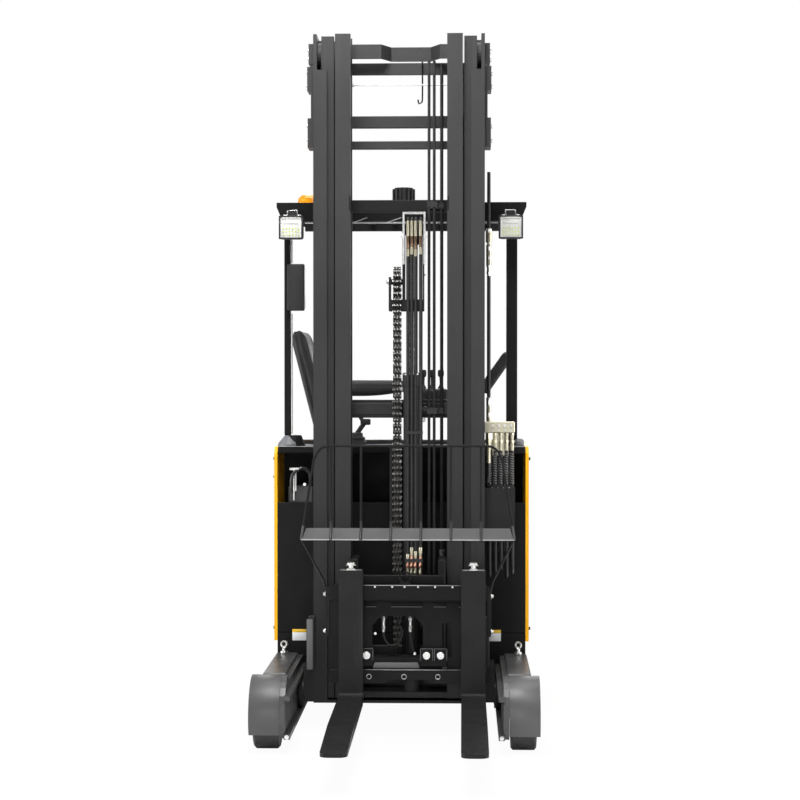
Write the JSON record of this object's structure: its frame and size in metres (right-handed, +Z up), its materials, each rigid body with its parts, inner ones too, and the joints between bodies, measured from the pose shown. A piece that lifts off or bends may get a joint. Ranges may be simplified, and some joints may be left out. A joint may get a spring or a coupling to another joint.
{
  "type": "reach truck",
  "caption": "Seated reach truck with a three-stage mast, sideshifting and tilting forks, a load backrest, an overhead guard and a battery behind its front wall.",
  "frame": {"origin": "on the ground, under the middle of the truck's whole outline", "axes": "+Z up, -Y towards the fork tips, +X to the side of the manifold, which is the operator's entry side"},
  "size_m": [1.16, 2.5, 2.941],
  "materials": {
    "mast_paint": "satin charcoal paint",
    "body_paint": "satin near-black paint",
    "yellow_paint": "satin yellow-orange paint",
    "shelf_paint": "satin mid-grey paint",
    "seat_vinyl": "matt grained vinyl",
    "black_plastic": "matt",
    "tyre": "matt",
    "plated": "zinc plated",
    "hose_rubber": "matt",
    "beacon_orange": "clear orange lens"
  },
  "bodies": {
    "chassis": {"armrest": "seat_vinyl", "battery": "mast_paint", "battery_connector": "shelf_paint", "beacon": "beacon_orange", "bulkhead": "body_paint", "chassis_base": "body_paint", "display_pod": "black_plastic", "drive_motor": "body_paint", "drive_mount": "mast_paint", "finned_alarm": "black_plastic", "front_wall": "body_paint", "load_arm_left": "mast_paint", "load_arm_right": "mast_paint", "motor_cover": "body_paint", "operator_floor": "black_plastic", "overhead_guard": "body_paint", "rear_panel": "yellow_paint", "seat_back": "seat_vinyl", "seat_base": "black_plastic", "seat_cushion": "seat_vinyl", "side_box": "black_plastic", "side_panel_left": "yellow_paint", "side_panel_right": "yellow_paint", "steering_column": "black_plastic", "steering_console": "black_plastic", "top_shroud": "body_paint", "wheel_cover_left": "mast_paint", "wheel_cover_right": "mast_paint", "work_light_left": "black_plastic", "work_light_right": "black_plastic"},
    "load_wheel_left_body": {"load_wheel_left": "tyre"},
    "load_wheel_right_body": {"load_wheel_right": "tyre"},
    "drive_turntable_body": {"drive_turntable": "mast_paint"},
    "drive_wheel_body": {"drive_wheel": "tyre"},
    "steering_wheel_body": {"steering_wheel": "black_plastic"},
    "mast_outer_body": {"mast_outer": "mast_paint", "hose_bracket": "body_paint", "manifold": "plated", "reach_hoses": "hose_rubber"},
    "mast_middle_body": {"mast_middle": "mast_paint"},
    "mast_inner_body": {"mast_inner": "mast_paint", "free_lift_barrel": "mast_paint", "mast_hoses": "hose_rubber"},
    "crosshead_body": {"crosshead": "mast_paint", "hose_guard": "plated", "lift_chain": "mast_paint", "carriage_hoses": "hose_rubber"},
    "lift_carriage_body": {"lift_carriage": "mast_paint"},
    "tilt_frame_body": {"tilt_frame": "mast_paint"},
    "fork_carriage_body": {"fork_carriage": "mast_paint", "fork_left": "mast_paint", "fork_right": "mast_paint", "load_backrest": "shelf_paint"}
  },
  "joints": [
    {"name": "load_wheel_left_spin", "type": "hinge", "parent": "chassis", "child": "load_wheel_left_body", "pos_m": [-0.512, -0.36, 0.1425], "axis": [1, 0, 0], "continuous": true},
    {"name": "load_wheel_right_spin", "type": "hinge", "parent": "chassis", "child": "load_wheel_right_body", "pos_m": [0.512, -0.36, 0.1425], "axis": [1, 0, 0], "continuous": true},
    {"name": "steering_wheel_turn", "type": "hinge", "parent": "chassis", "child": "steering_wheel_body", "pos_m": [0.29, 1.02, 1.12], "axis": [-0.4226, 0, 0.9063], "range_deg": [-360, 360]},
    {"name": "drive_steer", "type": "hinge", "parent": "chassis", "child": "drive_turntable_body", "pos_m": [-0.1, 1, 0.35], "axis": [0, 0, 1], "range_deg": [-90, 90]},
    {"name": "drive_wheel_spin", "type": "hinge", "parent": "drive_turntable_body", "child": "drive_wheel_body", "pos_m": [-0.1, 1, 0.165], "axis": [1, 0, 0], "continuous": true},
    {"name": "mast_reach", "type": "slide", "parent": "chassis", "child": "mast_outer_body", "axis": [0, -1, 0], "range_m": [0, 0.56]},
    {"name": "middle_lift", "type": "slide", "parent": "mast_outer_body", "child": "mast_middle_body", "axis": [0, 0, 1], "range_m": [0, 2.25]},
    {"name": "inner_lift", "type": "slide", "parent": "mast_middle_body", "child": "mast_inner_body", "axis": [0, 0, 1], "range_m": [0, 2.25]},
    {"name": "crosshead_lift", "type": "slide", "parent": "mast_inner_body", "child": "crosshead_body", "axis": [0, 0, 1], "range_m": [-0.0675, 0.95]},
    {"name": "carriage_lift", "type": "slide", "parent": "mast_inner_body", "child": "lift_carriage_body", "axis": [0, 0, 1], "range_m": [-0.135, 1.9]},
    {"name": "fork_tilt", "type": "hinge", "parent": "lift_carriage_body", "child": "tilt_frame_body", "pos_m": [0, -0.0725, 0.585], "axis": [1, 0, 0], "range_deg": [-4, 2]},
    {"name": "sideshift", "type": "slide", "parent": "tilt_frame_body", "child": "fork_carriage_body", "axis": [1, 0, 0], "range_m": [-0.12, 0.03]}
  ],
  "couplings": [
    {"joint": "drive_steer", "follows": "steering_wheel_turn", "ratio": 0.25},
    {"joint": "inner_lift", "follows": "middle_lift", "ratio": 1},
    {"joint": "crosshead_lift", "follows": "carriage_lift", "ratio": 0.5}
  ]
}
